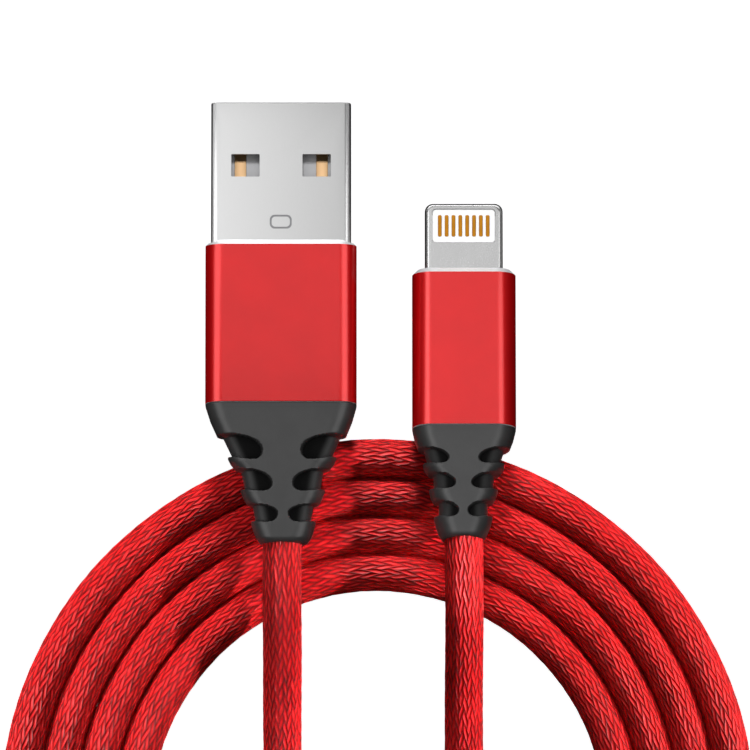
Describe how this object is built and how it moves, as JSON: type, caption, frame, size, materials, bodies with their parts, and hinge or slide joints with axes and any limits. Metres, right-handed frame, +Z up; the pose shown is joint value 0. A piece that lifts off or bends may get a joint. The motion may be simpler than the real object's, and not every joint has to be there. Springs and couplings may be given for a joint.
{
  "type": "charging cable",
  "caption": "Red braided charging cable with a USB-A plug and a small reversible phone plug, wound in a flat oblong coil.",
  "frame": {"origin": "bottom centre of the box that holds the two plugs, on the surface the cable lies on", "axes": "+X from the USB plug towards the phone plug, +Y the way both plugs point, +Z up from the surface"},
  "size_m": [0.065, 0.1124, 0.0095],
  "materials": {
    "plated_steel": "satin nickel plate",
    "gold_contact": "gold plate",
    "grey_plastic": "moulded",
    "white_plastic": "moulded",
    "mould_plastic": "moulded",
    "wire_red": "extruded",
    "wire_white": "extruded",
    "wire_green": "extruded",
    "wire_black": "extruded",
    "red_anodised": "anodised red, bright chamfer",
    "black_relief": "moulded, semi-gloss",
    "inner_jacket": "smooth",
    "circuit_board": "solder mask",
    "chip_black": "moulded",
    "red_braid": "braided nylon"
  },
  "bodies": {
    "cord": {"cord_coil": "red_braid", "usb_cord_tail": "red_braid", "phone_cord_tail": "red_braid"},
    "usb_plug": {"usb_shell": "plated_steel", "usb_contact_tongue": "grey_plastic", "usb_contact_power": "gold_contact", "usb_contact_data_minus": "gold_contact", "usb_contact_data_plus": "gold_contact", "usb_contact_ground": "gold_contact", "usb_inner_mould": "mould_plastic", "usb_wire_power": "wire_red", "usb_wire_data_minus": "wire_white", "usb_wire_data_plus": "wire_green", "usb_wire_ground": "wire_black", "usb_housing": "red_anodised", "usb_strain_relief": "black_relief", "usb_inner_cable": "inner_jacket"},
    "phone_plug": {"phone_tab": "plated_steel", "phone_insulator": "white_plastic", "phone_contact_top_1": "gold_contact", "phone_contact_top_2": "gold_contact", "phone_contact_top_3": "gold_contact", "phone_contact_top_4": "gold_contact", "phone_contact_top_5": "gold_contact", "phone_contact_top_6": "gold_contact", "phone_contact_top_7": "gold_contact", "phone_contact_top_8": "gold_contact", "phone_contact_bottom_1": "gold_contact", "phone_contact_bottom_2": "gold_contact", "phone_contact_bottom_3": "gold_contact", "phone_contact_bottom_4": "gold_contact", "phone_contact_bottom_5": "gold_contact", "phone_contact_bottom_6": "gold_contact", "phone_contact_bottom_7": "gold_contact", "phone_contact_bottom_8": "gold_contact", "phone_circuit_board": "circuit_board", "phone_control_chip": "chip_black", "phone_inner_mould": "mould_plastic", "phone_wire_power": "wire_red", "phone_wire_data_minus": "wire_white", "phone_wire_data_plus": "wire_green", "phone_wire_ground": "wire_black", "phone_housing": "red_anodised", "phone_strain_relief": "black_relief", "phone_inner_cable": "inner_jacket"}
  },
  "joints": [
    {"name": "usb_plug_flex", "type": "hinge", "parent": "cord", "child": "usb_plug", "pos_m": [-0.00683, -0.01302, 0.00644], "axis": [1, 0, 0], "range_deg": [0, 60], "deforming": ["usb_strain_relief", "usb_inner_cable"]},
    {"name": "phone_plug_flex", "type": "hinge", "parent": "cord", "child": "phone_plug", "pos_m": [0.00885, -0.01394, 0.00661], "axis": [1, 0, 0], "range_deg": [0, 60], "deforming": ["phone_strain_relief", "phone_inner_cable"]}
  ]
}
